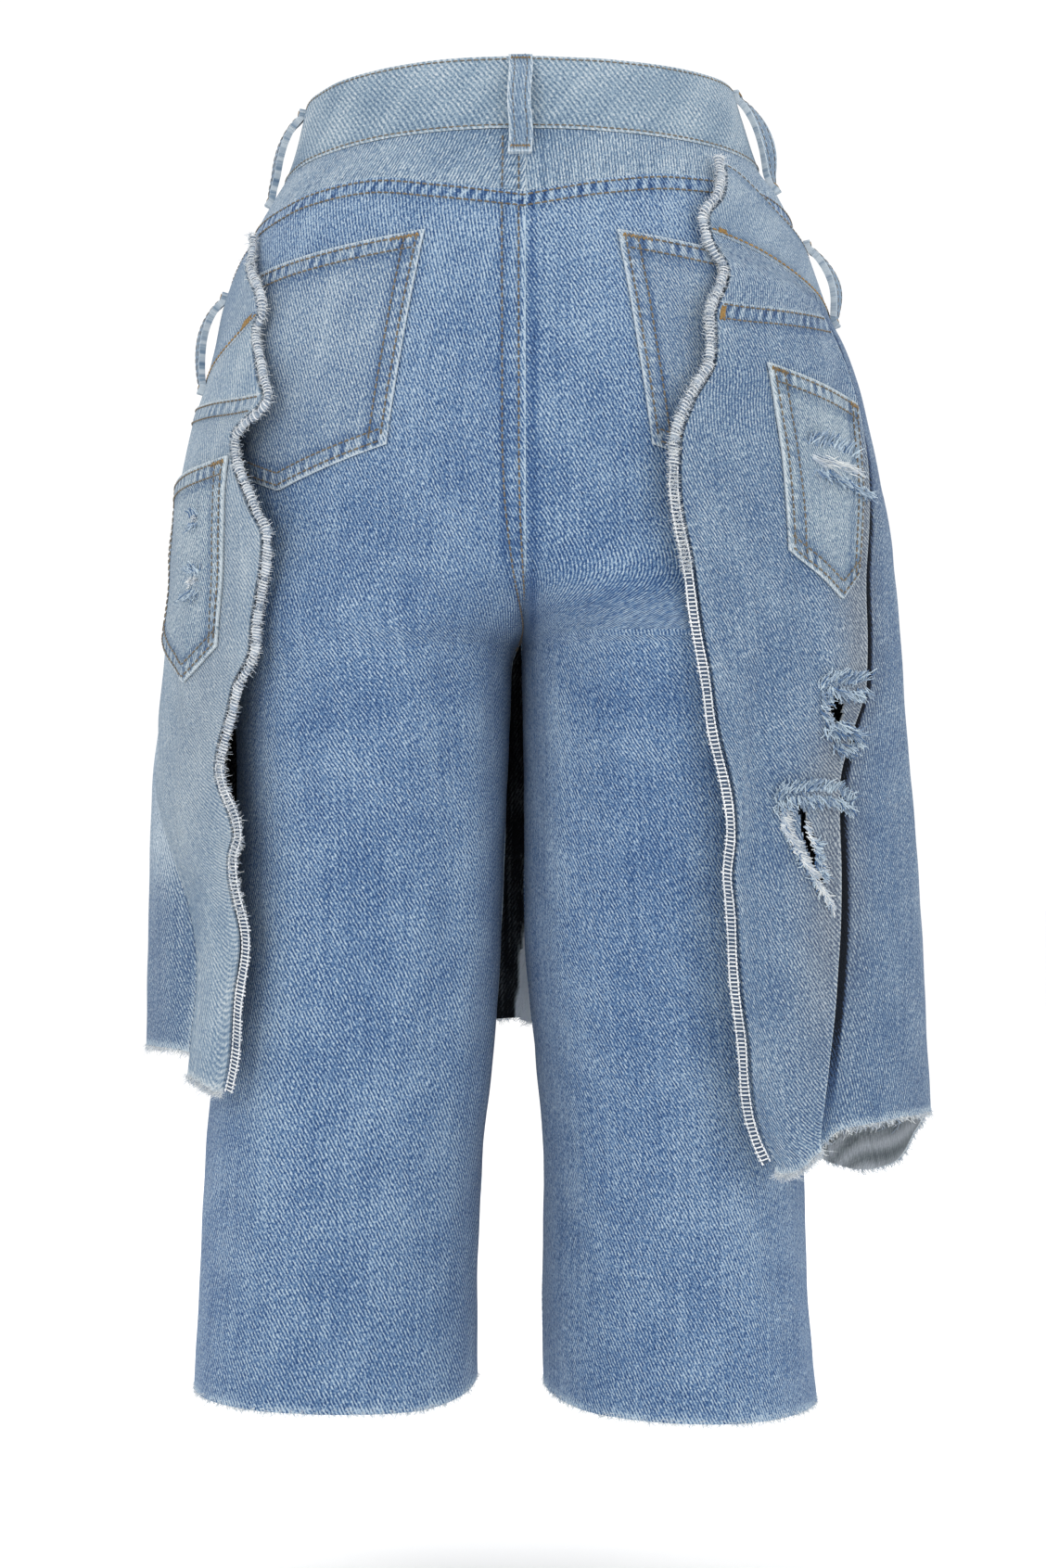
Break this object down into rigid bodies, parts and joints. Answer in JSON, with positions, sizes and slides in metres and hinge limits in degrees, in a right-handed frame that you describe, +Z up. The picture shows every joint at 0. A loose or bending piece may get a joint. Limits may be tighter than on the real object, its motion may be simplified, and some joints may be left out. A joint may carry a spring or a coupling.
{
  "type": "layered denim capri jeans",
  "caption": "Knee-length capri jeans in washed blue denim, with the cut-open back and front panels of a second pair hung over the sides and front, filled out as if worn.",
  "frame": {"origin": "middle of the waist, level with the upper half of the waistband", "axes": "+Z up, +Y the way the wearer faces, +X the wearer's right"},
  "size_m": [0.422, 0.2574, 0.7098],
  "materials": {
    "denim_legs": "washed blue twill",
    "denim_yoke": "washed blue twill",
    "denim_band": "washed blue twill, worn pale on the edges",
    "denim_pocket": "washed blue twill",
    "denim_second": "paler washed twill with rips",
    "overlock_thread": "grey-white overlock thread",
    "brass": "aged, satin"
  },
  "bodies": {
    "root": {"back_pocket_left": "denim_pocket", "back_pocket_right": "denim_pocket", "belt_loop_back": "denim_band", "belt_loop_front_left": "denim_band", "belt_loop_front_right": "denim_band", "belt_loop_side_left": "denim_band", "belt_loop_side_right": "denim_band", "fly": "denim_legs", "leg_back_left": "denim_legs", "leg_back_right": "denim_legs", "leg_front_left": "denim_legs", "leg_front_right": "denim_legs", "overlock_edge_left": "overlock_thread", "overlock_edge_right": "overlock_thread", "second_back_left": "denim_second", "second_back_right": "denim_second", "second_front_left": "denim_second", "second_front_right": "denim_second", "second_loop_front_left": "denim_band", "second_loop_front_right": "denim_band", "second_loop_left": "denim_band", "second_loop_right": "denim_band", "second_pocket_left": "denim_pocket", "second_pocket_right": "denim_pocket", "second_waistband": "denim_band", "second_yoke_left": "denim_second", "second_yoke_right": "denim_second", "waist_button": "brass", "waistband": "denim_band", "yoke_left": "denim_yoke", "yoke_right": "denim_yoke"}
  },
  "joints": []
}
